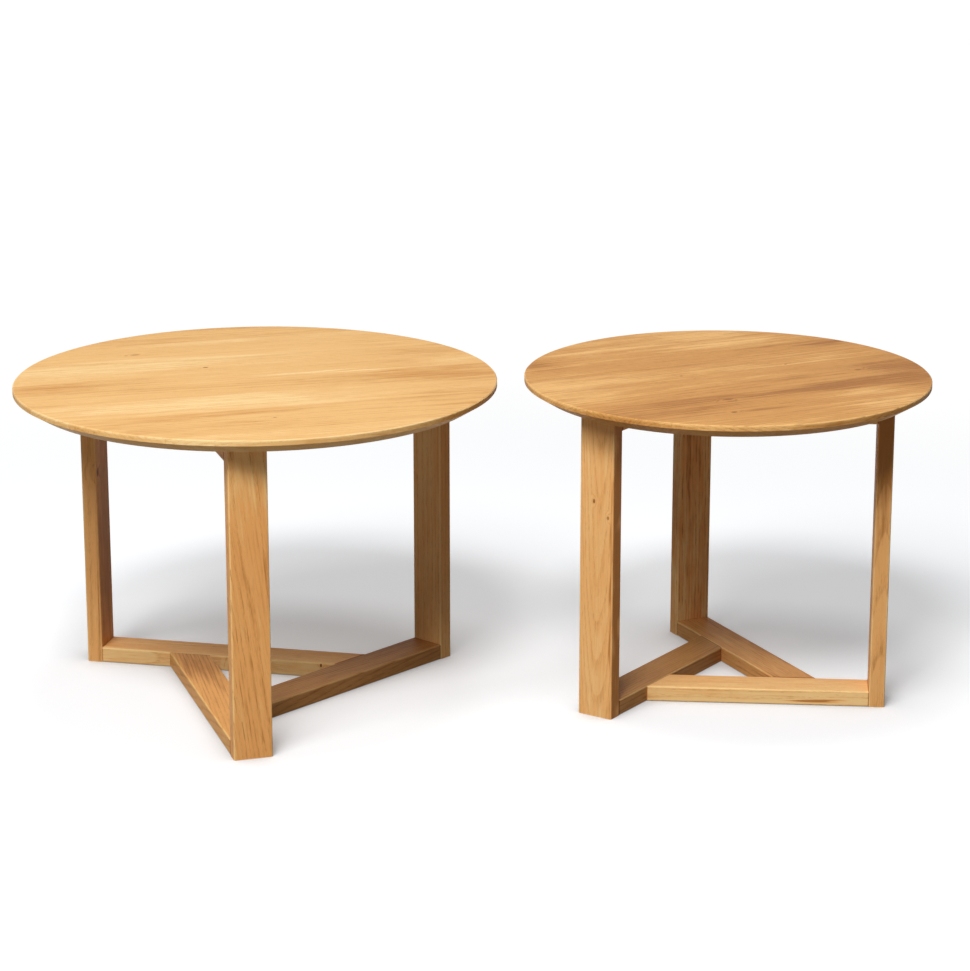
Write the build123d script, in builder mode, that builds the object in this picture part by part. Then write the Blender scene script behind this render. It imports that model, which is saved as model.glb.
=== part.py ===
from build123d import *
import os
from math import cos, radians, sin, tan

# Two round oak tables of one design, a large and a small one of the same height, side by side on the floor.
# Each round top stands on three flat legs. Every leg carries a lower and an upper rail, and each set of
# three rails makes a pinwheel: a rail runs past the centre and butts against the side of the next rail.
# Millimetres, +Z up, origin on the floor at the middle of the pair, which stands in line along X.

# Outline of the pair
LARGE_DIAMETER = 750.0
SMALL_DIAMETER = 635.0
TABLE_HEIGHT = 505.0
RIM_GAP = 43.0  # clear distance between the two rims

# Round top: a straight edge above a wide bevel on the underside
TOP_THICKNESS = 23.0
EDGE_HEIGHT = 8.5
BEVEL_WIDTH = 24.0
TOP_EASE = 1.5  # chamfer on the upper arris

# Boards of the legs and rails
BOARD_WIDTH = 60.0
BOARD_THICKNESS = 25.0
EDGE_ROUND = 2.5  # rounding along the boards

# Pinwheel
LEG_INSET = 61.0  # from the rim to a leg's outer face, along its rail
LARGE_HEART = 60.0  # distance from the centre to each rail, the inner radius of the open triangle
SMALL_HEART = 47.0
LARGE_ARMS = ("front", "left", "right")  # a leg and its rails, clockwise from the first leg
SMALL_ARMS = ("back", "right", "left")
ARM_STEP = 360.0 / len(LARGE_ARMS)

# How each table stands: direction of its first leg, in degrees from +X. The staves run square to its rail.
LARGE_TURN_ANGLE = -74.4
SMALL_TURN_ANGLE = 113.3

# Glue lines between the staves, from the centre towards the first leg, as shares of the top's radius
LARGE_GLUE_LINES = (-0.76, -0.51, -0.17, 0.01, 0.22, 0.49, 0.83)
SMALL_GLUE_LINES = (-0.71, -0.50, -0.32, 0.05, 0.275, 0.48, 0.70)

# Floating tenons in the butt joints: flat tongues glued into a mortise on either side
TENON_WIDTH = 36.0
TENON_THICKNESS = 8.0
TENON_IN_LEG = 15.0
TENON_IN_RAIL = 25.0
TENON_PLAY = 0.1  # glue gap round a tenon
MORTISE_END_PLAY = 1.0  # space left at the bottom of a mortise

# Countersunk screws that hold the top from below, one in each upper rail
SCREW_IN_TOP = 15.0
SCREW_SHANK_DIAMETER = 4.0
SCREW_HEAD_DIAMETER = 8.0
SCREW_PLAY = 0.15
SCREW_END_PLAY = 1.0  # space left above a screw's end
SCREW_FROM_LEG = 95.0  # from the leg's inner face, along the rail
COUNTERSINK_ANGLE = 90.0

# Heights and sizes that follow from those above
UNDERSIDE = TABLE_HEIGHT - TOP_THICKNESS
UPPER_RAIL_BOTTOM = UNDERSIDE - BOARD_THICKNESS
LOWER_MIDDLE = BOARD_THICKNESS / 2
UPPER_MIDDLE = UPPER_RAIL_BOTTOM + BOARD_THICKNESS / 2
SCREW_LENGTH = BOARD_THICKNESS + SCREW_IN_TOP
SCREW_HEAD_HEIGHT = (SCREW_HEAD_DIAMETER - SCREW_SHANK_DIAMETER) / 2 / tan(radians(COUNTERSINK_ANGLE / 2))

os.makedirs("parts", exist_ok=True)


class Table:
    """Where the pieces of one table lie. Arm 0 is the first leg with its rails, the next arm is clockwise."""

    def __init__(self, name, diameter, heart, centre_x, turn, arm_names, glue_lines):
        self.name = name
        self.radius = diameter / 2
        self.heart = heart
        self.centre = (centre_x, 0, 0)
        self.turn = turn
        self.arm_names = arm_names
        self.stave_edges = [share * self.radius for share in (-1.0, *glue_lines, 1.0)]
        self.leg_outer = self.radius - LEG_INSET
        self.leg_inner = self.leg_outer - BOARD_THICKNESS
        self.rail_line = -(heart + BOARD_WIDTH / 2)
        self.corner = heart * tan(radians(ARM_STEP) / 2)

    def arms(self):
        return range(len(self.arm_names))

    def arm(self, index, height=0.0):
        """Level plane at the table's centre, X outward along the arm. Its rail lies on the -Y side."""
        angle = radians(self.turn - ARM_STEP * index)
        return Plane(origin=self.centre, x_dir=(cos(angle), sin(angle), 0), z_dir=(0, 0, 1)).offset(height)

    def leg_joint(self, index, height):
        """Plane on a leg's inner face, at the end of its rail, looking along the rail to the centre."""
        arm = self.arm(index, height)
        middle = arm.from_local_coords((self.leg_inner, self.rail_line, 0))
        return Plane(origin=middle, x_dir=arm.y_dir, z_dir=-arm.x_dir)

    def heart_joint(self, index, height):
        """Plane on a rail's inner side, where the rail before it butts, at the middle of the tenon."""
        arm = self.arm(index, height)
        middle_of_end = self.corner + BOARD_WIDTH / sin(radians(ARM_STEP)) / 2
        lean = TENON_IN_RAIL / tan(radians(ARM_STEP)) / 2
        middle = arm.from_local_coords((middle_of_end + lean, -self.heart, 0))
        return Plane(origin=middle, x_dir=arm.x_dir, z_dir=arm.y_dir)

    def screw(self, index, height):
        """Plane of the screw in one upper rail, looking down."""
        arm = self.arm(index, height)
        place = arm.from_local_coords((self.leg_inner - SCREW_FROM_LEG, self.rail_line, 0))
        return Plane(origin=place, x_dir=arm.x_dir, z_dir=(0, 0, -1))

    def screws(self, height):
        return [self.screw(index, height) for index in self.arms()]


def save(piece, name):
    piece.label = name
    export_step(piece, f"parts/{name}.step")


def make_stave(table, number):
    """One board of the round top: the turned profile, kept between two glue lines."""
    arm = table.arm(0)
    near, far = table.stave_edges[number - 1 : number + 1]
    rim = table.radius
    with BuildPart() as stave:
        with BuildSketch(Plane(origin=table.centre, x_dir=arm.x_dir, z_dir=-arm.y_dir)):
            with BuildLine():
                Polyline(
                    (0, UNDERSIDE),
                    (rim - BEVEL_WIDTH, UNDERSIDE),
                    (rim, TABLE_HEIGHT - EDGE_HEIGHT),
                    (rim, TABLE_HEIGHT),
                    (0, TABLE_HEIGHT),
                    close=True,
                )
            profile = make_face()
            upper_arris = profile.vertices().group_by(Axis.Y)[-1].sort_by(Axis.X)[-1]
            chamfer(upper_arris, TOP_EASE)
        revolve(axis=Axis(table.centre, (0, 0, 1)))
        with BuildSketch(table.arm(0, UNDERSIDE)):
            with Locations(((near + far) / 2, 0)):
                Rectangle(far - near, 2 * rim)
        extrude(amount=TOP_THICKNESS, mode=Mode.INTERSECT)
        with Locations(*table.screws(UNDERSIDE)):
            Hole(SCREW_SHANK_DIAMETER / 2 + SCREW_PLAY, SCREW_IN_TOP + SCREW_END_PLAY)
    save(stave.part, f"{table.name}_stave_{number}")


def cut_mortise(depth):
    """Pocket for a tenon at the current locations. It reaches as far to both sides of the joint."""
    Box(
        TENON_WIDTH + 2 * TENON_PLAY,
        TENON_THICKNESS + 2 * TENON_PLAY,
        2 * (depth + MORTISE_END_PLAY),
        mode=Mode.SUBTRACT,
    )


def make_leg(table, index):
    """Upright board from the floor to the top, with a mortise for either rail."""
    arm = table.arm(index)
    with BuildPart() as leg:
        with BuildSketch(arm):
            with Locations((table.leg_outer - BOARD_THICKNESS / 2, table.rail_line)):
                Rectangle(BOARD_THICKNESS, BOARD_WIDTH)
        extrude(amount=UNDERSIDE)
        fillet(leg.edges().filter_by(Axis.Z), EDGE_ROUND)
        with Locations(table.leg_joint(index, LOWER_MIDDLE), table.leg_joint(index, UPPER_MIDDLE)):
            cut_mortise(TENON_IN_LEG)
    save(leg.part, f"{table.name}_leg_{table.arm_names[index]}")


def make_rail(table, index, level, bottom):
    """Flat board from a leg past the centre, its far end cut to lie against the side of the next rail."""
    arm = table.arm(index, bottom)
    middle = bottom + BOARD_THICKNESS / 2
    following = (index + 1) % len(table.arm_names)
    inner_side = -table.heart
    outer_side = inner_side - BOARD_WIDTH
    outer_end = -table.corner + BOARD_WIDTH / tan(radians(ARM_STEP))
    with BuildPart() as rail:
        with BuildSketch(arm):
            with BuildLine():
                Polyline(
                    (table.leg_inner, inner_side),
                    (-table.corner, inner_side),
                    (outer_end, outer_side),
                    (table.leg_inner, outer_side),
                    close=True,
                )
            make_face()
        extrude(amount=BOARD_THICKNESS)
        fillet(rail.edges().filter_by(Axis(table.centre, arm.x_dir)), EDGE_ROUND)
        with Locations(
            table.leg_joint(index, middle),
            table.heart_joint(index, middle),
            table.heart_joint(following, middle),
        ):
            cut_mortise(TENON_IN_RAIL)
        if level == "upper":
            with Locations(table.screw(index, bottom)):
                CounterSinkHole(
                    SCREW_SHANK_DIAMETER / 2 + SCREW_PLAY,
                    SCREW_HEAD_DIAMETER / 2 + SCREW_PLAY,
                    BOARD_THICKNESS,
                    COUNTERSINK_ANGLE,
                )
    save(rail.part, f"{table.name}_{level}_rail_{table.arm_names[index]}")


def make_tenons(table, where, joint, depth_behind):
    """All tenons of one kind of joint, each reaching behind the joint's face and into the rail before it."""
    with BuildPart() as tenons:
        for height in (LOWER_MIDDLE, UPPER_MIDDLE):
            for index in table.arms():
                with Locations(joint(index, height).offset(-depth_behind)):
                    Box(
                        TENON_WIDTH,
                        TENON_THICKNESS,
                        depth_behind + TENON_IN_RAIL,
                        align=(Align.CENTER, Align.CENTER, Align.MIN),
                    )
    save(tenons.part, f"{table.name}_{where}_tenons")


def make_screws(table):
    """Countersunk screws, heads flush with the upper rails' undersides, their ends up in the top."""
    shank = SCREW_SHANK_DIAMETER / 2
    on_end = (Align.CENTER, Align.CENTER, Align.MIN)
    with BuildPart() as screws:
        for looking_down in table.screws(UPPER_RAIL_BOTTOM):
            looking_up = -looking_down
            with Locations(looking_up):
                Cone(SCREW_HEAD_DIAMETER / 2, shank, SCREW_HEAD_HEIGHT, align=on_end)
            with Locations(looking_up.offset(SCREW_HEAD_HEIGHT)):
                Cylinder(shank, SCREW_LENGTH - SCREW_HEAD_HEIGHT, align=on_end)
    save(screws.part, f"{table.name}_top_screws")


def make_table(table):
    for number in range(1, len(table.stave_edges)):
        make_stave(table, number)
    for index in table.arms():
        make_leg(table, index)
        make_rail(table, index, "lower", 0.0)
        make_rail(table, index, "upper", UPPER_RAIL_BOTTOM)
    make_tenons(table, "leg", table.leg_joint, TENON_IN_LEG)
    make_tenons(table, "heart", table.heart_joint, TENON_IN_RAIL)
    make_screws(table)


make_table(
    Table(
        name="large",
        diameter=LARGE_DIAMETER,
        heart=LARGE_HEART,
        centre_x=-(RIM_GAP + SMALL_DIAMETER) / 2,
        turn=LARGE_TURN_ANGLE,
        arm_names=LARGE_ARMS,
        glue_lines=LARGE_GLUE_LINES,
    )
)
make_table(
    Table(
        name="small",
        diameter=SMALL_DIAMETER,
        heart=SMALL_HEART,
        centre_x=(RIM_GAP + LARGE_DIAMETER) / 2,
        turn=SMALL_TURN_ANGLE,
        arm_names=SMALL_ARMS,
        glue_lines=SMALL_GLUE_LINES,
    )
)
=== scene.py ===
import math

import bpy
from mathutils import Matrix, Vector

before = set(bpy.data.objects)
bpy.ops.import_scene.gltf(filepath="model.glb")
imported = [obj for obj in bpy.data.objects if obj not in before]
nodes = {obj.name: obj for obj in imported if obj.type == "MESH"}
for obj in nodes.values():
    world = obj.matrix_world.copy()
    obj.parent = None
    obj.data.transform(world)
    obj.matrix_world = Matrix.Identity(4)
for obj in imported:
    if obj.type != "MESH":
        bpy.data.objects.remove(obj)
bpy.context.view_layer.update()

scene = bpy.context.scene

# The tables as they are built, in metres and degrees. Arms are named clockwise, from the first leg
TOP_HEIGHT = 0.505
TOP_THICKNESS = 0.023
BOARD_WIDTH = 0.060
BOARD_THICKNESS = 0.025
EDGE_ROUND = 0.0025
LEG_INSET = 0.061
SCREW_FROM_LEG = 0.095
ARM_STEP = 120.0
TABLES = {
    "large": {
        "centre": (-0.339, 0.0),
        "radius": 0.375,
        "heart": 0.060,
        "turn": -74.4,
        "arms": ("front", "left", "right"),
        "grain": 15.6,
        "staves_to": (1.0, 0.76, 0.51, 0.17, -0.01, -0.22, -0.49, -0.83, -1.0),
    },
    "small": {
        "centre": (0.3965, 0.0),
        "radius": 0.3175,
        "heart": 0.047,
        "turn": 113.3,
        "arms": ("back", "right", "left"),
        "grain": 23.3,
        "staves_to": (-1.0, -0.71, -0.50, -0.32, 0.05, 0.275, 0.48, 0.70, 1.0),
    },
}
RAIL_LEVELS = {"lower": BOARD_THICKNESS / 2, "upper": TOP_HEIGHT - TOP_THICKNESS - BOARD_THICKNESS / 2}


def feed(tree, socket, value):
    """Give a socket its value, or link it to the socket that it takes its value from."""
    if isinstance(value, bpy.types.NodeSocket):
        tree.links.new(value, socket)
    else:
        socket.default_value = value


def node(tree, kind, inputs=None, **settings):
    """A new node. An input takes a value, or the socket that it is linked to."""
    new = tree.nodes.new(kind)
    for name, value in settings.items():
        setattr(new, name, value)
    for name, value in (inputs or {}).items():
        feed(tree, new.inputs[name], value)
    return new


def maths(tree, operation, a, b=0.0, c=0.0):
    """Arithmetic with one, two or three numbers."""
    return node(tree, "ShaderNodeMath", {0: a, 1: b, 2: c}, operation=operation).outputs[0]


def vector(tree, operation, a, b):
    """Vector arithmetic. b is a vector, or a number where the operation scales."""
    second = "Scale" if operation == "SCALE" else 1
    made = node(tree, "ShaderNodeVectorMath", {0: a, second: b}, operation=operation)
    return made.outputs["Vector"]


def length(tree, a):
    """How long a vector is."""
    return node(tree, "ShaderNodeVectorMath", {0: a}, operation="LENGTH").outputs["Value"]


def parts_of(tree, a):
    """X, Y and Z of a vector."""
    return node(tree, "ShaderNodeSeparateXYZ", {0: a}).outputs


def joined(tree, x, y, z):
    """A vector from its X, Y and Z."""
    return node(tree, "ShaderNodeCombineXYZ", {0: x, 1: y, 2: z}).outputs[0]


def smooth(tree, value, low, high, to_low=0.0, to_high=1.0):
    """A soft step of a value from low to high."""
    made = node(
        tree,
        "ShaderNodeMapRange",
        {"Value": value, "From Min": low, "From Max": high, "To Min": to_low, "To Max": to_high},
        interpolation_type="SMOOTHSTEP",
    )
    return made.outputs["Result"]


def noise(tree, place, stretch, detail=2.0, roughness=0.5):
    """Noise from 0 to 1, with its own scale along each axis of the board."""
    at = vector(tree, "MULTIPLY", place, stretch)
    made = node(
        tree,
        "ShaderNodeTexNoise",
        {"Vector": at, "Scale": 1.0, "Detail": detail, "Roughness": roughness},
    )
    return made.outputs["Fac"]


def mix_colour(tree, share, a, b):
    """Colour a with a share of colour b."""
    made = node(tree, "ShaderNodeMix", data_type="RGBA")
    for name, value in (("Factor_Float", share), ("A_Color", a), ("B_Color", b)):
        feed(tree, next(s for s in made.inputs if s.identifier == name), value)
    return next(s for s in made.outputs if s.identifier == "Result_Color")


def new_material(name):
    """An empty material and its node tree."""
    made = bpy.data.materials.new(name)
    made.use_nodes = True
    made.node_tree.nodes.clear()
    return made, made.node_tree


# Oak's figure as noise: waves per metre along the grain and both ways across it
WANDER = (2.0, 8.0, 8.0)
UNEVEN_YEARS = (1.0, 40.0, 40.0)
BROAD = (3.2, 20.0, 20.0)
MOTTLE = (20.0, 52.0, 52.0)
STREAK = (8.0, 95.0, 95.0)
LINE = (15.0, 330.0, 330.0)
FIBRE = (22.0, 1150.0, 1150.0)
FINE_PORES = (95.0, 2300.0, 2300.0)
PORE_GROUPS = (28.0, 400.0, 400.0)
# How deep each of them goes, in tone, where dark is 0 and light is 1
BROAD_DEPTH = 1.6
MOTTLE_DEPTH = 0.9
STREAK_DEPTH = 1.5
LINE_DEPTH = 1.3
FIBRE_DEPTH = 0.22
MIDDLE_TONE = 0.5
# How far the grain wanders to either side together, in metres, and how uneven the years are, in years
WANDER_REACH = 0.016
YEARS_UNEVEN = 1.3
# Early wood, in shares of a year: it comes in at the year's end and goes out by the middle of the next
EARLY_COMES = 0.90
EARLY_GOES = 0.50
EARLY_MEAN = 0.30
# Pores: where the noise is below this level, which is higher in the early wood, with a soft edge
PORE_LEVEL = 0.30
PORE_CROWDING = 0.14
PORE_EDGE = 0.06
# Dashes: where the noise passes from the first to the second level, and their share in the late wood
DASH_LEVELS = (0.52, 0.70)
LATE_DASHES = 0.25
# The oiled surface
ROUGHNESS = 0.44
STREAK_ROUGHNESS = 0.12
PORE_ROUGHNESS = 0.14
FIBRE_RELIEF = 0.30
PORE_RELIEF = -0.70
DASH_RELIEF = -0.25


def make_oak():
    """Oak: growth rings round a pith, pores and dashes crowded in the early wood, streaks and fibres.
    Board is a point in the board, in metres, X along the grain. Seed sets the board apart from the others."""
    tree = bpy.data.node_groups.new("oak", "ShaderNodeTree")
    for name, kind in (
        ("Board", "Vector"),
        ("Seed", "Vector"),
        ("Pith", "Vector"),
        ("Lean", "Vector"),
        ("Ring", "Float"),
        ("Rings", "Float"),
        ("Streaks", "Float"),
        ("Dashes", "Float"),
        ("Pores", "Float"),
        ("Tone", "Float"),
        ("Swell", "Float"),
        ("Shade", "Vector"),
        ("Dark", "Color"),
        ("Middle", "Color"),
        ("Light", "Color"),
        ("Pore", "Color"),
    ):
        tree.interface.new_socket(name, in_out="INPUT", socket_type=f"NodeSocket{kind}")
    for name, kind in (("Color", "Color"), ("Roughness", "Float"), ("Height", "Float")):
        tree.interface.new_socket(name, in_out="OUTPUT", socket_type=f"NodeSocket{kind}")
    given = tree.nodes.new("NodeGroupInput").outputs
    out = tree.nodes.new("NodeGroupOutput")

    # the grain wanders a little to either side
    place = vector(tree, "ADD", given["Board"], given["Seed"])
    wander = node(
        tree,
        "ShaderNodeTexNoise",
        {"Vector": vector(tree, "MULTIPLY", place, WANDER), "Scale": 1.0, "Detail": 1.5},
    ).outputs["Color"]
    wander = vector(tree, "SUBTRACT", wander, (0.5, 0.5, 0.5))
    wander = vector(tree, "MULTIPLY", wander, (0.0, WANDER_REACH, WANDER_REACH))
    bent = vector(tree, "ADD", given["Board"], wander)
    place = vector(tree, "ADD", place, wander)

    # growth rings: distance from a pith that leans along the board
    along = parts_of(tree, given["Board"])[0]
    pith = vector(tree, "ADD", given["Pith"], vector(tree, "SCALE", given["Lean"], along))
    across = vector(tree, "MULTIPLY", vector(tree, "SUBTRACT", bent, pith), (0.0, 1.0, 1.0))
    radius = maths(tree, "ADD", length(tree, across), given["Swell"])
    uneven = noise(tree, place, UNEVEN_YEARS, detail=1.0)
    years = maths(tree, "MULTIPLY_ADD", uneven, YEARS_UNEVEN, maths(tree, "DIVIDE", radius, given["Ring"]))
    part_of_year = maths(tree, "FRACT", years)
    going = smooth(tree, part_of_year, EARLY_GOES, 0.0)
    coming = smooth(tree, part_of_year, EARLY_COMES, 1.0)
    early = maths(tree, "MAXIMUM", going, coming)

    # slow streaks of colour along the board, a soft mottle, finer streaks, and fibres
    broad = noise(tree, place, BROAD, detail=1.5)
    mottle = noise(tree, place, MOTTLE, roughness=0.55)
    streak = noise(tree, place, STREAK, roughness=0.55)
    line = noise(tree, place, LINE, detail=1.5)
    fibre = noise(tree, place, FIBRE, roughness=0.6)

    # pores: fine short dashes everywhere, groups of them as longer dashes, both dense in the early wood
    fine = noise(tree, place, FINE_PORES, detail=1.0, roughness=0.4)
    crowd = maths(tree, "MULTIPLY_ADD", early, PORE_CROWDING, PORE_LEVEL)
    pores = smooth(tree, maths(tree, "SUBTRACT", fine, crowd), PORE_EDGE, -PORE_EDGE)
    group = noise(tree, place, PORE_GROUPS, detail=1.5, roughness=0.55)
    season = maths(tree, "MULTIPLY_ADD", early, 1.0 - LATE_DASHES, LATE_DASHES)
    dashes = maths(tree, "MULTIPLY", smooth(tree, group, *DASH_LEVELS), season)

    tone = maths(tree, "ADD", given["Tone"], MIDDLE_TONE)
    for wave, amount in (
        (broad, BROAD_DEPTH),
        (mottle, MOTTLE_DEPTH),
        (streak, STREAK_DEPTH),
        (line, LINE_DEPTH),
    ):
        depth = maths(tree, "MULTIPLY", given["Streaks"], amount)
        tone = maths(tree, "MULTIPLY_ADD", maths(tree, "SUBTRACT", wave, 0.5), depth, tone)
    tone = maths(tree, "MULTIPLY_ADD", maths(tree, "SUBTRACT", fibre, 0.5), FIBRE_DEPTH, tone)
    ring_depth = maths(tree, "MULTIPLY", given["Rings"], maths(tree, "SUBTRACT", early, EARLY_MEAN))
    tone = maths(tree, "SUBTRACT", tone, ring_depth)

    colour = mix_colour(tree, smooth(tree, tone, 0.0, MIDDLE_TONE), given["Dark"], given["Middle"])
    colour = mix_colour(tree, smooth(tree, tone, MIDDLE_TONE, 1.0), colour, given["Light"])
    colour = mix_colour(tree, maths(tree, "MULTIPLY", dashes, given["Dashes"]), colour, given["Pore"])
    colour = mix_colour(tree, maths(tree, "MULTIPLY", pores, given["Pores"]), colour, given["Pore"])
    colour = vector(tree, "MULTIPLY", colour, given["Shade"])

    rough = maths(tree, "MULTIPLY_ADD", streak, STREAK_ROUGHNESS, ROUGHNESS)
    rough = maths(tree, "MULTIPLY_ADD", pores, PORE_ROUGHNESS, rough)
    height = maths(tree, "MULTIPLY_ADD", pores, PORE_RELIEF, maths(tree, "MULTIPLY", fibre, FIBRE_RELIEF))
    height = maths(tree, "MULTIPLY_ADD", dashes, DASH_RELIEF, height)
    for name, socket in (("Color", colour), ("Roughness", rough), ("Height", height)):
        tree.links.new(socket, out.inputs[name])
    return tree


OAK = make_oak()

# Oiled oak: the large top is pale honey, the small top browner, both bases a warmer orange
PALETTES = {
    "large_top": {
        "Dark": (0.60, 0.275, 0.070, 1.0),
        "Middle": (0.81, 0.475, 0.176, 1.0),
        "Light": (0.93, 0.650, 0.310, 1.0),
        "Pore": (0.36, 0.150, 0.040, 1.0),
    },
    "small_top": {
        "Dark": (0.38, 0.150, 0.034, 1.0),
        "Middle": (0.61, 0.292, 0.082, 1.0),
        "Light": (0.83, 0.480, 0.176, 1.0),
        "Pore": (0.22, 0.080, 0.020, 1.0),
    },
    "base": {
        "Dark": (0.52, 0.212, 0.057, 1.0),
        "Middle": (0.89, 0.452, 0.158, 1.0),
        "Light": (0.97, 0.640, 0.280, 1.0),
        "Pore": (0.40, 0.155, 0.038, 1.0),
    },
}


# How far fibres are shifted along each other and to the side, in metres, and the noise that shifts them
FEATHER_ALONG = 0.08
FEATHER_ASIDE = 0.008
FEATHER_FIBRES = (4.0, 150.0, 150.0)
FEATHER_WAVES = (14.0, 30.0, 30.0)


def patch(tree, board, centre, reach, amount, core=0.0):
    """A soft oval in a board, full within its core: another tone, or a raised spot in its rings."""
    far = length(tree, vector(tree, "DIVIDE", vector(tree, "SUBTRACT", board, centre), reach))
    return maths(tree, "MULTIPLY", smooth(tree, far, 1.0, core), amount)


def feathered(tree, place, seed):
    """The board with its fibres shifted, so that a mark ends in streaks and has a wavy edge."""
    fibres = vector(tree, "ADD", place, seed)
    along = noise(tree, fibres, FEATHER_FIBRES)
    along = maths(tree, "MULTIPLY_ADD", along, 2 * FEATHER_ALONG, -FEATHER_ALONG)
    aside = noise(tree, fibres, FEATHER_WAVES, detail=1.0)
    aside = maths(tree, "MULTIPLY_ADD", aside, 2 * FEATHER_ASIDE, -FEATHER_ASIDE)
    return vector(tree, "ADD", place, joined(tree, along, aside, 0.0))


def board_place(tree, origin, angle, upright):
    """A point of the board and the way its face looks: X along the grain, Y across it, Z through the board.
    An upright board has its grain along the table's Z."""
    where = node(tree, "ShaderNodeTexCoord").outputs
    turn = (0.0, 0.0, math.radians(angle))
    found = []
    for source, start in (("Object", origin), ("Normal", (0.0, 0.0, 0.0))):
        turned = node(
            tree,
            "ShaderNodeMapping",
            {"Vector": where[source], "Location": start, "Rotation": turn},
            vector_type="TEXTURE",
        ).outputs[0]
        if upright:
            x, y, z = parts_of(tree, turned)
            turned = joined(tree, z, y, x)
        found.append(turned)
    return found


# Lines and edges on the boards: where each begins to show and where it shows in full, in metres
ARRIS_FULL = 0.4 * EDGE_ROUND
JOINT_LINE = (0.0018, 0.0004)
GLUE_LINE = (0.0007, 0.0001)
RIM_ARRIS_IN = (-0.0030, -0.0010)
RIM_ARRIS_DOWN = (-0.0045, -0.0025)
# and how much each changes the tone. Arrises are painted lighter, as a painted highlight and as lighter worn
# edges, the upper arris of a rim as a painted highlight, and the joint lines as painted shadow lines
ARRIS_HIGHLIGHT_AND_WEAR_TONE = 0.40
JOINT_TONE = -0.90
GLUE_TONE = -0.20
RIM_ARRIS_HIGHLIGHT_TONE = 0.30
END_GRAIN_TONE = -0.24
# A rim's painted light and shade, paler at its left and darker at its right: its tone and shade at its left
# and at its right end of the grain, and where the one turns into the other
RIM_PAINTED_LIGHT_TURN = (-0.45, 0.55)
RIM_PAINTED_LIGHT_TONES = (0.18, -0.32)
RIM_PAINTED_LIGHT_SHADES = (0.15, 0.06)
# How square to the grain, or how upright, a face is where it counts as end grain, or as the rim
END_GRAIN_FACE = (0.55, 0.90)
RIM_FACE = (0.50, 0.20)


def arrises(tree, place):
    """1 on the rounded arrises of a leg or rail, which get a painted highlight and lighter worn edges."""
    apart = parts_of(tree, place)
    from_side = maths(tree, "SUBTRACT", maths(tree, "ABSOLUTE", apart[1]), BOARD_WIDTH / 2 - EDGE_ROUND)
    from_face = maths(tree, "SUBTRACT", maths(tree, "ABSOLUTE", apart[2]), BOARD_THICKNESS / 2 - EDGE_ROUND)
    return smooth(tree, maths(tree, "MINIMUM", from_side, from_face), 0.0, ARRIS_FULL)


def joint_lines(tree, place, table):
    """1 in the fine shadow lines at both ends of a rail: at its leg, and slanted at the next rail."""
    facts = TABLES[table]
    x, y, _ = parts_of(tree, place)
    leg_inner = facts["radius"] - LEG_INSET - BOARD_THICKNESS
    to_leg = maths(tree, "SUBTRACT", leg_inner, x)
    corner = facts["heart"] * math.tan(math.radians(ARM_STEP / 2))
    slope = math.radians(ARM_STEP - 90)
    along = maths(tree, "MULTIPLY", maths(tree, "ADD", x, corner), math.cos(slope))
    aside = maths(tree, "SUBTRACT", y, BOARD_WIDTH / 2)
    to_heart = maths(tree, "MULTIPLY_ADD", aside, -math.sin(slope), along)
    return smooth(tree, maths(tree, "MINIMUM", to_leg, to_heart), *JOINT_LINE)


def rim_arris(tree, place, table):
    """1 on the eased upper arris of a round top, which gets a painted highlight."""
    x, y, z = parts_of(tree, place)
    from_rim = maths(tree, "SUBTRACT", length(tree, joined(tree, x, y, 0.0)), TABLES[table]["radius"])
    near_rim = smooth(tree, from_rim, *RIM_ARRIS_IN)
    return maths(tree, "MULTIPLY", near_rim, smooth(tree, z, *RIM_ARRIS_DOWN))


def rim_band(tree, facing):
    """1 on the upright edge of a round top, where the rim gets painted light and shade."""
    return smooth(tree, maths(tree, "ABSOLUTE", parts_of(tree, facing)[2]), *RIM_FACE)


def glue_lines(tree, place, table, number):
    """1 in the hairlines at both long edges of a stave."""
    y = parts_of(tree, place)[1]
    shares = TABLES[table]["staves_to"][number - 1 : number + 1]
    edges = [share * TABLES[table]["radius"] for share in shares]
    apart = [maths(tree, "ABSOLUTE", maths(tree, "SUBTRACT", y, edge)) for edge in edges]
    return smooth(tree, maths(tree, "MINIMUM", *apart), *GLUE_LINE)


# A knot in shares of its size, along, across and through the board: the swollen rings, and the dark spot
KNOT_SWELLING = (3.2, 1.9, 4.0)
KNOT_SWELL = 1.2
KNOT_SPOT = (1.0, 0.62, 2.0)
KNOT_CORE = 0.35  # of the spot, dark all over
KNOT_SHADE = -0.40
# The finish of all oak
RELIEF_STRENGTH = 0.25
RELIEF_DEPTH = 0.0004
OIL_SHEEN = 0.07
# How a board looks unless told otherwise. slant is how far the grain runs out sideways, per length. pith is
# across and through the board, and lean is how far it runs out per length. ring is a year's growth. rings,
# streaks, dashes and pores say how strongly each shows. shade scales the colour; on three lower rails it is
# painted shade. marks are patches of another tone, some of them painted light or shade, and knots are spots
# that the rings run round: a place in the board, a mark's reach or a knot's size, both in metres, and a depth
PLAIN_LOOK = dict(
    tone=0.0,
    shade=1.0,
    tint=(1.0, 1.0, 1.0),
    slant=0.0,
    pith=(0.10, -0.06),
    lean=(0.0, 0.0),
    ring=0.0045,
    rings=0.12,
    streaks=0.30,
    dashes=0.20,
    pores=0.35,
    marks=(),
    knots=(),
)


def scaled(shares, size):
    """Shares of a size as lengths."""
    return tuple(share * size for share in shares)


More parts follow.
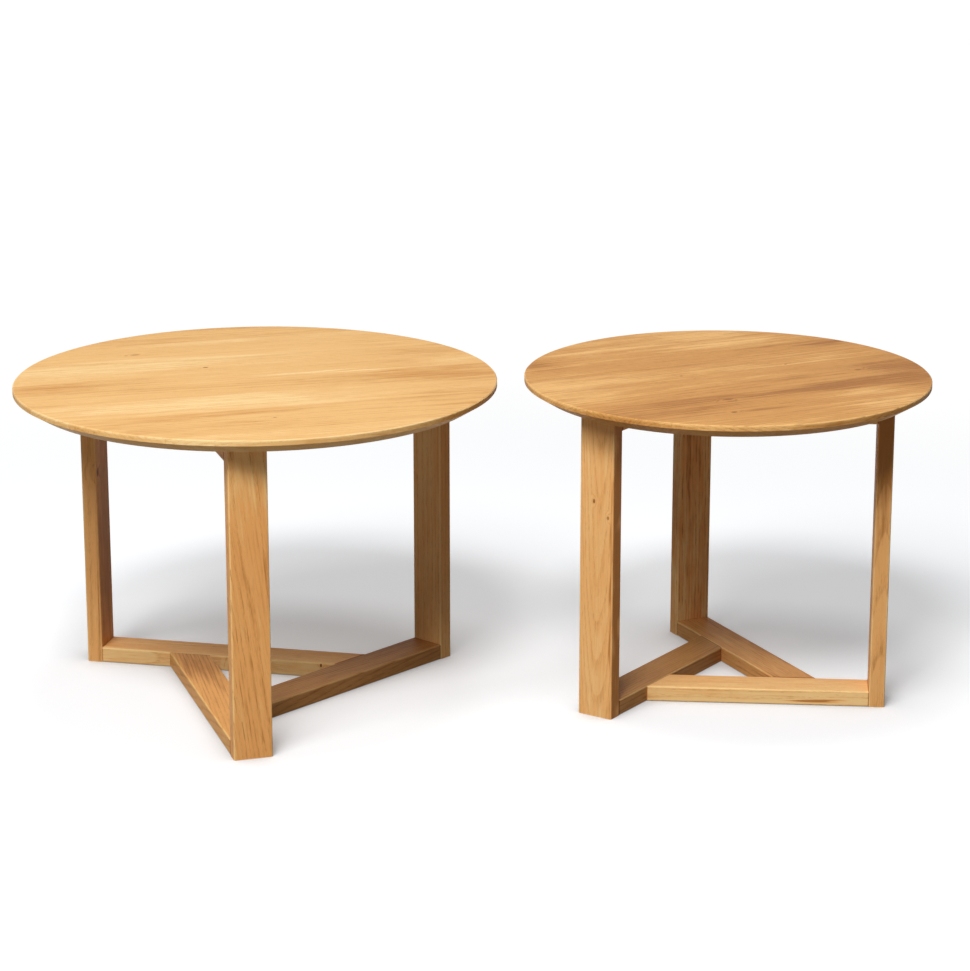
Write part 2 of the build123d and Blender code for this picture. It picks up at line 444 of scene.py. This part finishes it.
def board_material(name, table, palette, origin, angle, seed, look, upright=False, stave=None, rail=False):
    """Oak for one board. stave is the number of a stave in a top."""
    made, tree = new_material(name)
    look = {**PLAIN_LOOK, **look}
    shade = look["shade"]
    place, facing = board_place(tree, origin, angle, upright)

    tone = look["tone"]
    changes = []
    if stave:
        # the rim's painted light and shade: paler at its left, darker at its right, in tone and in shade
        rim = rim_band(tree, facing)
        along = parts_of(tree, facing)[0]
        # painted highlight along the rim's upper arris
        changes.append((rim_arris(tree, place, table), RIM_ARRIS_HIGHLIGHT_TONE))
        changes.append((rim, smooth(tree, along, *RIM_PAINTED_LIGHT_TURN, *RIM_PAINTED_LIGHT_TONES)))
        changes.append((glue_lines(tree, place, table, stave), GLUE_TONE))
        shade = maths(tree, "MULTIPLY_ADD", rim, smooth(tree, along, *RIM_PAINTED_LIGHT_TURN, *RIM_PAINTED_LIGHT_SHADES), shade)
    else:
        # painted highlight and lighter worn edges along the arrises
        changes.append((arrises(tree, place), ARRIS_HIGHLIGHT_AND_WEAR_TONE))
    if rail:
        changes.append((joint_lines(tree, place, table), JOINT_TONE))
    end_grain = smooth(tree, maths(tree, "ABSOLUTE", parts_of(tree, facing)[0]), *END_GRAIN_FACE)
    changes.append((end_grain, END_GRAIN_TONE))
    for mask, amount in changes:
        tone = maths(tree, "MULTIPLY_ADD", mask, amount, tone)

    fibres = feathered(tree, place, seed) if look["marks"] else place
    for at, reach, amount in look["marks"]:
        tone = maths(tree, "ADD", patch(tree, fibres, at, reach, amount), tone)
    swell = 0.0
    for at, size, depth in look["knots"]:
        raised = patch(tree, place, at, scaled(KNOT_SWELLING, size), KNOT_SWELL * size)
        swell = maths(tree, "ADD", raised, swell)
        spot = patch(tree, place, at, scaled(KNOT_SPOT, size), 1.0, KNOT_CORE)
        tone = maths(tree, "MULTIPLY_ADD", spot, -depth, tone)
        darker = maths(tree, "MULTIPLY", spot, KNOT_SHADE * depth)
        shade = maths(tree, "MULTIPLY_ADD", darker, shade, shade)

    x, y, z = parts_of(tree, place)
    values = {
        "Board": joined(tree, x, maths(tree, "MULTIPLY_ADD", x, -look["slant"], y), z),
        "Seed": seed,
        "Pith": (0.0, *look["pith"]),
        "Lean": (0.0, *look["lean"]),
        "Ring": look["ring"],
        "Rings": look["rings"],
        "Streaks": look["streaks"],
        "Dashes": look["dashes"],
        "Pores": look["pores"],
        "Tone": tone,
        "Swell": swell,
        "Shade": vector(tree, "SCALE", look["tint"], shade),
        **PALETTES[palette],
    }
    oak = node(tree, "ShaderNodeGroup", values, node_tree=OAK).outputs
    relief = node(
        tree,
        "ShaderNodeBump",
        {"Height": oak["Height"], "Strength": RELIEF_STRENGTH, "Distance": RELIEF_DEPTH},
    )
    surface = node(
        tree,
        "ShaderNodeBsdfPrincipled",
        {
            "Base Color": oak["Color"],
            "Roughness": oak["Roughness"],
            "Normal": relief.outputs[0],
            "Specular IOR Level": OIL_SHEEN,
        },
    )
    node(tree, "ShaderNodeOutputMaterial", {"Surface": surface.outputs[0]})
    return made


def dress(name, material):
    """Give a piece its one material."""
    slots = nodes[name].data.materials
    slots.clear()
    slots.append(material)


# How each board looks. Staves run from the edge that is farthest from the first leg. Their marks and knots
# are given in radii: to the right along the grain, to the back, and for a mark its reach both ways
STAVES = {
    "large": (
        dict(tone=-0.12, marks=((0.60, 0.80, 0.50, 0.12, -0.06),)),
        dict(
            tone=0.00,
            marks=(
                (-0.10, 0.73, 0.55, 0.06, 0.22),
                (-0.35, 0.57, 0.18, 0.05, -0.12),
                (0.75, 0.60, 0.45, 0.14, -0.10),
            ),
            knots=((-0.39, 0.585, 0.0100, 0.30), (-0.43, 0.58, 0.0050, 0.30)),
        ),
        dict(
            tone=0.08,
            marks=(
                (-0.60, 0.36, 0.75, 0.20, 0.18),
                (0.10, 0.42, 0.60, 0.10, 0.08),
                (0.70, 0.28, 0.60, 0.20, -0.14),
            ),
            knots=((-0.153, 0.268, 0.0055, 1.30),),
        ),
        dict(
            tone=0.00,
            marks=(
                (-0.85, 0.08, 0.65, 0.18, -0.26),
                (-0.86, 0.09, 0.20, 0.06, -0.10),
                (0.88, 0.09, 0.26, 0.14, 0.44),
                (0.22, 0.055, 0.30, 0.018, 0.44),
                (0.46, 0.020, 0.28, 0.013, 0.48),
            ),
        ),
        dict(
            tone=-0.08,
            marks=(
                (0.58, -0.022, 0.26, 0.016, -0.22),
                (0.60, -0.12, 0.75, 0.18, -0.10),
                (0.90, -0.17, 0.35, 0.07, -0.06),
                (-0.60, -0.16, 0.60, 0.12, 0.10),
            ),
        ),
        dict(
            tone=0.12,
            marks=(
                (-0.35, -0.34, 0.90, 0.20, 0.18),
                (0.72, -0.45, 0.50, 0.08, -0.22),
                (0.70, -0.30, 0.60, 0.14, -0.08),
            ),
        ),
        dict(
            tone=-0.10,
            marks=(
                (-0.50, -0.54, 0.70, 0.11, -0.16),
                (-0.05, -0.53, 0.40, 0.08, -0.12),
                (-0.19, -0.68, 0.14, 0.022, -0.20),
                (0.30, -0.72, 0.55, 0.14, 0.06),
            ),
            knots=((-0.08, -0.645, 0.0035, 0.60),),
        ),
        dict(tone=0.02, marks=((-0.40, -0.88, 0.35, 0.10, 0.14),)),
    ),
    "small": (
        dict(tone=0.02, marks=((0.45, -0.82, 0.50, 0.20, 0.28), (-0.40, -0.80, 0.50, 0.14, 0.06))),
        dict(
            tone=-0.06,
            marks=(
                (-0.18, -0.665, 0.20, 0.030, -0.30),
                (-0.55, -0.56, 0.60, 0.14, -0.14),
                (0.45, -0.60, 0.40, 0.15, 0.28),
                (0.74, -0.56, 0.28, 0.10, -0.28),
            ),
            knots=((-0.34, -0.66, 0.0060, 0.90),),
        ),
        dict(
            tone=-0.14,
            marks=(
                (-0.45, -0.40, 0.65, 0.16, -0.14),
                (0.50, -0.43, 0.75, 0.16, -0.24),
                (0.10, -0.36, 0.35, 0.03, 0.14),
            ),
            knots=((-0.24, -0.43, 0.0100, 0.50),),
        ),
        dict(
            tone=0.02,
            marks=(
                (0.92, -0.22, 0.45, 0.24, -0.22),
                (-0.75, -0.08, 0.60, 0.20, 0.12),
                (0.10, -0.20, 0.60, 0.06, -0.10),
            ),
            knots=((0.64, -0.18, 0.0080, 0.30),),
        ),
        dict(
            tone=0.12,
            marks=(
                (-0.75, 0.16, 0.65, 0.22, 0.16),
                (0.50, 0.066, 0.60, 0.016, 0.36),
                (0.20, 0.20, 0.55, 0.08, -0.10),
            ),
            knots=((-0.215, 0.08, 0.0035, 1.00), (0.377, 0.075, 0.0035, 1.00)),
        ),
        dict(
            tone=-0.02,
            marks=(
                (0.45, 0.455, 0.42, 0.026, -0.24),
                (0.84, 0.42, 0.30, 0.10, -0.46),
                (-0.20, 0.30, 0.34, 0.018, 0.24),
                (-0.55, 0.40, 0.50, 0.08, -0.08),
            ),
        ),
        dict(
            tone=0.08,
            marks=(
                (-0.76, 0.60, 0.22, 0.16, -0.42),
                (0.36, 0.62, 0.55, 0.18, 0.28),
                (-0.15, 0.675, 0.34, 0.016, -0.28),
                (-0.30, 0.53, 0.50, 0.04, 0.10),
            ),
        ),
        dict(tone=0.06, marks=((-0.30, 0.735, 0.45, 0.022, 0.36), (0.35, 0.77, 0.35, 0.12, 0.24))),
    ),
}
# Marks that run over all staves of a top
TOP_MARKS = {
    "large": ((0.90, 0.00, 0.65, 1.00, -0.22),),
    "small": (
        (1.00, -0.15, 0.65, 0.70, -0.20),
        (-0.95, 0.00, 0.60, 0.60, 0.18),
        (0.00, 0.90, 1.20, 0.45, 0.14),
    ),
}
STAVE_GRAIN = {
    "large": dict(slant=-0.045, rings=0.07, ring=0.006, streaks=0.30, dashes=0.16, pores=0.26),
    "small": dict(rings=0.10, ring=0.005, streaks=0.36, dashes=0.26, pores=0.32),
}

# Legs: X up from the floor, Y across, Z outward. Rails: X outward from the table's centre, Y across, Z up
LEGS = {
    "large_front": dict(
        tone=0.02,
        shade=1.04,
        tint=(1.0, 0.93, 0.84),
        slant=-0.12,
        pith=(0.05, -0.05),
        rings=0.12,
        ring=0.0050,
        dashes=0.58,
        streaks=0.40,
        # painted light: the upper end of the outer face lighter, where the top's shadow falls
        marks=(((0.49, 0.0, 0.0125), (0.16, 0.060, 0.04), 0.28),),
    ),
    "large_left": dict(
        shade=1.07,
        pith=(0.12, 0.02),
        dashes=0.30,
        # painted shade: the inner face darker
        marks=(((0.24, 0.0, -0.0125), (0.60, 0.06, 0.012), -0.44),),
        knots=(((0.320, 0.022, -0.0125), 0.0085, 1.4),),
    ),
    "large_right": dict(
        tone=0.22,
        pith=(0.05, 0.07),
        rings=0.05,
        streaks=0.28,
        dashes=0.24,
        marks=(
            ((0.40, 0.0, -0.0125), (0.30, 0.06, 0.010), 0.14),
            ((0.42, -0.030, 0.0), (0.40, 0.008, 0.05), -0.24),
        ),
    ),
    "small_left": dict(
        pith=(0.006, -0.030),
        lean=(0.0, 0.05),
        rings=0.11,
        ring=0.0035,
        streaks=0.20,
        dashes=0.25,
        tone=0.12,
        shade=1.05,
        # painted shade: the side face darker
        marks=(((0.25, 0.030, 0.0), (0.80, 0.006, 0.05), -0.72),),
        knots=(((0.347, -0.0045, 0.0125), 0.0045, 1.0), ((0.324, 0.021, 0.0125), 0.0045, 0.6)),
    ),
    "small_back": dict(
        tone=0.17,
        tint=(1.0, 0.98, 0.96),
        pith=(0.09, 0.05),
        rings=0.07,
        ring=0.0050,
        dashes=0.80,
        streaks=0.70,
        marks=(
            ((0.38, 0.016, -0.0125), (0.22, 0.014, 0.012), -0.26),
            ((0.30, 0.011, -0.0125), (0.34, 0.007, 0.012), -0.55),
        ),
    ),
    "small_right": dict(
        pith=(0.03, 0.003),
        lean=(0.05, 0.01),
        rings=0.12,
        ring=0.0040,
        dashes=0.40,
        streaks=0.30,
        # painted shadow of the top on the upper half of the leg
        marks=(((0.50, 0.0, 0.0), (0.24, 0.50, 0.50), -0.60),),
    ),
}
RAILS = {
    "large_lower_left": dict(
        tone=0.14,
        shade=1.08,
        pith=(-0.02, 0.004),
        lean=(0.05, 0.0),
        rings=0.16,
        ring=0.0040,
        dashes=0.35,
        # painted light: the front face lighter
        marks=(((0.15, 0.032, 0.0), (0.60, 0.010, 0.05), 0.30),),
        knots=(((0.069, 0.030, -0.006), 0.0070, 0.9), ((-0.081, 0.030, 0.0085), 0.0022, 1.2)),
    ),
    "large_lower_front": dict(
        slant=-0.10,
        shade=0.98,
        tint=(1.0, 0.97, 0.86),
        rings=0.14,
        ring=0.0050,
        dashes=0.30,
        # painted shadow: the inner end of the upper face darker, where the top's shadow falls
        marks=(((-0.06, 0.0, 0.0125), (0.12, 0.06, 0.03), -0.26),),
    ),
    "large_lower_right": dict(
        # tone and shade are painted shade: the whole rail darker, for the shadows of the front leg and the
        # top
        tone=-0.14,
        shade=0.60,
        tint=(1.0, 0.95, 0.90),
        slant=-0.06,
        rings=0.14,
        dashes=0.45,
    ),
    "small_lower_right": dict(
        tone=0.24,
        shade=1.08,
        rings=0.12,
        dashes=0.25,
        marks=(
            # painted light: the side face that looks to the front lighter; the two marks after it are dark
            # figure in the wood
            ((0.12, -0.032, 0.0), (0.60, 0.010, 0.05), 0.14),
            ((0.165, -0.030, -0.005), (0.055, 0.012, 0.0045), -1.60),
            ((0.10, -0.030, 0.002), (0.06, 0.012, 0.002), -0.22),
        ),
    ),
    "small_lower_left": dict(
        # tone and shade are painted shade: the whole rail darker, for the shadows of the left leg and the top
        tone=-0.10,
        shade=0.60,
        tint=(1.0, 0.96, 0.92),
        rings=0.14,
        dashes=0.40,
    ),
    "small_lower_back": dict(
        # tone and shade are painted shade: the whole rail darker, for the top's shadow on it
        tone=-0.10,
        shade=0.83,
        tint=(1.0, 0.94, 0.88),
        rings=0.14,
        streaks=0.50,
        dashes=0.50,
    ),
}

# Where each board's noise is taken from, so that no two boards are alike: the first board's place, and the
# step from board to board, or for each metre of height
SMALL_TABLE_SEED = 5.3
STAVE_SEED_STEP = (3.1, 1.7)
LEG_SEED = (11.0, 4.0, 0.4)
LEG_SEED_STEP = (2.3, 1.9)
RAIL_SEED = (17.0, 6.0, 0.9)
RAIL_SEED_STEP = (2.9, 1.3)
RAIL_SEED_RISE = 30.0
# The pith of a stave: below it, to one side of its middle and then to the other
STAVE_PITH_BELOW = -0.09
STAVE_PITH_ASIDE = (-0.07, 0.05)
SCREW_TURN = 20.0  # of a screw's cross against its rail, in degrees


def stave_look(table, number, look):
    """The whole look of a stave, in metres."""
    radius = TABLES[table]["radius"]
    edges = TABLES[table]["staves_to"]
    middle = (edges[number - 1] + edges[number]) / 2 * radius
    marks = [
        ((u * radius, v * radius, 0.0), (reach_u * radius, reach_v * radius, 1.0), amount)
        for u, v, reach_u, reach_v, amount in (*TOP_MARKS[table], *look.get("marks", ()))
    ]
    knots = [((u * radius, v * radius, 0.0), size, depth) for u, v, size, depth in look.get("knots", ())]
    pith = (middle + STAVE_PITH_ASIDE[number % 2], STAVE_PITH_BELOW)
    return {**STAVE_GRAIN[table], **look, "pith": pith, "marks": marks, "knots": knots}


screws = []
for table, facts in TABLES.items():
    radius = facts["radius"]
    centre = facts["centre"]
    table_seed = 0.0 if table == "large" else SMALL_TABLE_SEED
    for number, look in enumerate(STAVES[table], start=1):
        own = f"{table}_stave_{number}"
        seed = (STAVE_SEED_STEP[0] * number, STAVE_SEED_STEP[1] * number, table_seed)
        top = (*centre, TOP_HEIGHT)
        look = stave_look(table, number, look)
        grain = facts["grain"]
        dress(own, board_material(own, table, f"{table}_top", top, grain, seed, look, stave=number))
    for index, arm in enumerate(facts["arms"]):
        angle = facts["turn"] - ARM_STEP * index
        outward = Vector((math.cos(math.radians(angle)), math.sin(math.radians(angle))))
        rail_line = Vector(centre) + Vector((outward.y, -outward.x)) * (facts["heart"] + BOARD_WIDTH / 2)
        leg_inner = radius - LEG_INSET - BOARD_THICKNESS
        leg_line = rail_line + outward * (leg_inner + BOARD_THICKNESS / 2)
        screws.append((rail_line + outward * (leg_inner - SCREW_FROM_LEG), angle + SCREW_TURN))
        own = f"{table}_leg_{arm}"
        seed = (
            LEG_SEED[0] + LEG_SEED_STEP[0] * index,
            LEG_SEED[1] + LEG_SEED_STEP[1] * index,
            LEG_SEED[2] + table_seed,
        )
        look = LEGS[f"{table}_{arm}"]
        dress(own, board_material(own, table, "base", (*leg_line, 0.0), angle, seed, look, upright=True))
        for level, height in RAIL_LEVELS.items():
            own = f"{table}_{level}_rail_{arm}"
            seed = (
                RAIL_SEED[0] + RAIL_SEED_STEP[0] * index + RAIL_SEED_RISE * height,
                RAIL_SEED[1] + RAIL_SEED_STEP[1] * index,
                RAIL_SEED[2] + table_seed,
            )
            look = RAILS.get(f"{table}_{level}_{arm}", {})
            dress(own, board_material(own, table, "base", (*rail_line, height), angle, seed, look, rail=True))


BEECH_CLOUDS = (60.0, 60.0, 60.0)
BEECH_FLECKS = (900.0, 900.0, 320.0)
FLECK_LEVELS = (0.58, 0.68)
FLECK_SHARE = 0.6
BEECH_BROWN = (0.60, 0.37, 0.20, 1.0)
BEECH_PALE = (0.72, 0.48, 0.28, 1.0)
BEECH_FLECK = (0.36, 0.18, 0.08, 1.0)
BEECH_ROUGHNESS = 0.7
BEECH_SHEEN = 0.2


def beech_material(name):
    """Planed beech: pale, with short brown flecks."""
    made, tree = new_material(name)
    place = node(tree, "ShaderNodeTexCoord").outputs["Object"]
    fleck = smooth(tree, noise(tree, place, BEECH_FLECKS, detail=1.0), *FLECK_LEVELS)
    colour = mix_colour(tree, noise(tree, place, BEECH_CLOUDS), BEECH_BROWN, BEECH_PALE)
    colour = mix_colour(tree, maths(tree, "MULTIPLY", fleck, FLECK_SHARE), colour, BEECH_FLECK)
    surface = node(
        tree,
        "ShaderNodeBsdfPrincipled",
        {"Base Color": colour, "Roughness": BEECH_ROUGHNESS, "Specular IOR Level": BEECH_SHEEN},
    )
    node(tree, "ShaderNodeOutputMaterial", {"Surface": surface.outputs[0]})
    return made


# Cross recess of a screw, painted dark as painted shade: half its length, half a slot's width, and its soft
# edge
RECESS_REACH = 0.0022
RECESS_HALF = 0.0005
RECESS_EDGE = 0.0003
LOOKS_DOWN = (-0.80, -0.95)
ZINC_CLOUDS = (400.0, 400.0, 400.0)
CLOUD_LEVELS = (0.3, 0.7)
ZINC_BLUISH = (0.50, 0.51, 0.54, 1.0)
ZINC_YELLOWISH = (0.74, 0.73, 0.68, 1.0)
ZINC_ROUGHNESS = (0.28, 0.45)
RECESS_SHADE_COLOUR = (0.05, 0.05, 0.06, 1.0)
RECESS_ROUGHNESS = 0.3  # more than the head's


def cross_recess(tree, axis, angle):
    """1 where the cross recess of a screw head that looks down is painted dark, as painted shade."""
    place, facing = board_place(tree, (*axis, 0.0), angle, False)
    x, y, _ = parts_of(tree, place)
    x = maths(tree, "ABSOLUTE", x)
    y = maths(tree, "ABSOLUTE", y)
    slots = []
    for along, aside in ((x, y), (y, x)):
        within_length = smooth(tree, along, RECESS_REACH + RECESS_EDGE, RECESS_REACH)
        within_width = smooth(tree, aside, RECESS_HALF + RECESS_EDGE, RECESS_HALF)
        slots.append(maths(tree, "MULTIPLY", within_length, within_width))
    below = smooth(tree, parts_of(tree, facing)[2], *LOOKS_DOWN)
    return maths(tree, "MULTIPLY", maths(tree, "MAXIMUM", *slots), below)


def zinc_material(name, screws):
    """Zinc-plated steel, a little clouded, with a cross recess painted dark in each screw head as painted
    shade.
    """
    made, tree = new_material(name)
    place = node(tree, "ShaderNodeTexCoord").outputs["Object"]
    cloud = noise(tree, place, ZINC_CLOUDS, detail=3.0)
    recess = 0.0
    for axis, angle in screws:
        recess = maths(tree, "MAXIMUM", recess, cross_recess(tree, axis, angle))
    colour = mix_colour(tree, cloud, ZINC_BLUISH, ZINC_YELLOWISH)
    colour = mix_colour(tree, recess, colour, RECESS_SHADE_COLOUR)
    rough = smooth(tree, cloud, *CLOUD_LEVELS, *ZINC_ROUGHNESS)
    rough = maths(tree, "MULTIPLY_ADD", recess, RECESS_ROUGHNESS, rough)
    surface = node(
        tree,
        "ShaderNodeBsdfPrincipled",
        {"Base Color": colour, "Roughness": rough, "Metallic": 1.0},
    )
    node(tree, "ShaderNodeOutputMaterial", {"Surface": surface.outputs[0]})
    return made


BEECH = beech_material("tenon_beech")
STEEL = zinc_material("screw_steel", screws)
for table in TABLES:
    dress(f"{table}_leg_tenons", BEECH)
    dress(f"{table}_heart_tenons", BEECH)
    dress(f"{table}_top_screws", STEEL)


# Studio: a pale floor that keeps the shadows and passes into white further out, three soft lights in front of
# the tables and one above
FLOOR_HALF = 30.0
FLOOR_PAINT = (0.828, 0.840, 0.856, 1.0)  # as seen
FLOOR_BOUNCE = 0.24  # as it lights the tables
FLOOR_LIFT = 0.32
FLOOR_WHITE = 1.02  # further out
FLOOR_FADE = (0.95, 2.4)  # from the middle, in metres
NOOK_REACH = 0.14  # how far the contact shadows of legs and rails reach
NOOK_LEVELS = (0.35, 0.95)
NOOK_SHADES = (0.62, 1.0)
SURROUND = 0.11  # light from all around
COOL = (0.97, 1.00, 1.05, 1.0)  # its tint
WHITE = (1.0, 1.0, 1.0, 1.0)
BLACK = (0.0, 0.0, 0.0, 1.0)


def as_seen(tree):
    """1 for a ray that shows the studio: from the camera, from a mirror or through glass."""
    path = node(tree, "ShaderNodeLightPath").outputs
    mirrored = maths(tree, "MAXIMUM", path["Is Glossy Ray"], path["Is Transmission Ray"])
    return maths(tree, "MAXIMUM", path["Is Camera Ray"], mirrored)


floor_mesh = bpy.data.meshes.new("floor")
corners = [(x * FLOOR_HALF, y * FLOOR_HALF, 0.0) for x, y in ((-1, -1), (1, -1), (1, 1), (-1, 1))]
floor_mesh.from_pydata(corners, [], [(0, 1, 2, 3)])
floor = bpy.data.objects.new("floor", floor_mesh)
scene.collection.objects.link(floor)

floor_material, tree = new_material("floor")
seen = as_seen(tree)
from_middle = length(tree, node(tree, "ShaderNodeTexCoord").outputs["Object"])
far = smooth(tree, from_middle, *FLOOR_FADE)
nook = node(tree, "ShaderNodeAmbientOcclusion", {"Distance": NOOK_REACH}, samples=8).outputs["AO"]
open_floor = smooth(tree, nook, *NOOK_LEVELS, *NOOK_SHADES)
near = maths(tree, "MULTIPLY", maths(tree, "SUBTRACT", 1.0, far), open_floor)
paint = mix_colour(tree, near, BLACK, FLOOR_PAINT)
paint = mix_colour(tree, seen, (FLOOR_BOUNCE, FLOOR_BOUNCE, FLOOR_BOUNCE, 1.0), paint)
matt = node(tree, "ShaderNodeBsdfDiffuse", {"Color": paint})
lift = maths(tree, "MULTIPLY_ADD", far, FLOOR_WHITE - FLOOR_LIFT, FLOOR_LIFT)
lift = maths(tree, "MULTIPLY", maths(tree, "MULTIPLY", seen, open_floor), lift)
glow = node(tree, "ShaderNodeEmission", {"Color": WHITE, "Strength": lift})
both = node(tree, "ShaderNodeAddShader", {0: matt.outputs[0], 1: glow.outputs[0]})
node(tree, "ShaderNodeOutputMaterial", {"Surface": both.outputs[0]})
floor_mesh.materials.append(floor_material)

world = bpy.data.worlds.new("studio")
scene.world = world
world.use_nodes = True
tree = world.node_tree
tree.nodes.clear()
strength = maths(tree, "MULTIPLY_ADD", as_seen(tree), 1.0 - SURROUND, SURROUND)
tint = mix_colour(tree, as_seen(tree), COOL, WHITE)
sky = node(tree, "ShaderNodeBackground", {"Color": tint, "Strength": strength})
node(tree, "ShaderNodeOutputWorld", {"Surface": sky.outputs[0]})


# Soft lights: where each is, and the level that a white face square to it gives back
LIGHT_SIZE = 1.8
LIGHTS = {
    "key front": ((-0.95, -4.66, 6.00), 0.47),
    "key middle": ((-2.57, -4.98, 5.07), 0.26),
    "key left": ((-3.11, -3.41, 6.00), 0.18),
    "overhead": ((-0.15, 0.0, 5.25), 0.26),
}


def soft_light(name, place, level):
    """Round soft light that shines at the tables."""
    lamp = bpy.data.lights.new(name, "AREA")
    lamp.shape = "DISK"
    lamp.size = LIGHT_SIZE
    ray = Vector((0.0, 0.0, TOP_HEIGHT / 2)) - Vector(place)
    lamp.energy = level * math.pi**2 * ray.length_squared
    made = bpy.data.objects.new(name, lamp)
    scene.collection.objects.link(made)
    made.location = place
    made.rotation_mode = "QUATERNION"
    made.rotation_quaternion = ray.to_track_quat("-Z", "Y")


for name, (place, level) in LIGHTS.items():
    soft_light(name, place, level)

# Camera: in front of the pair, above the tops
FOCAL = 114.02  # millimetres
SENSOR = 36.0  # millimetres across the picture
CAMERA_PLACE = (-0.15684, -4.65394, 1.63255)
CAMERA_WAY = (0.037386, 0.999301)  # over the floor
CAMERA_DROP = 15.63  # degrees below the horizon
camera_data = bpy.data.cameras.new("camera")
camera_data.sensor_fit = "HORIZONTAL"
camera_data.sensor_width = SENSOR
camera_data.lens = FOCAL
camera = bpy.data.objects.new("camera", camera_data)
scene.collection.objects.link(camera)
camera.location = CAMERA_PLACE
drop = math.radians(CAMERA_DROP)
sight = Vector((CAMERA_WAY[0] * math.cos(drop), CAMERA_WAY[1] * math.cos(drop), -math.sin(drop)))
camera.rotation_mode = "QUATERNION"
camera.rotation_quaternion = sight.to_track_quat("-Z", "Y")
scene.camera = camera

scene.view_settings.view_transform = "Standard"
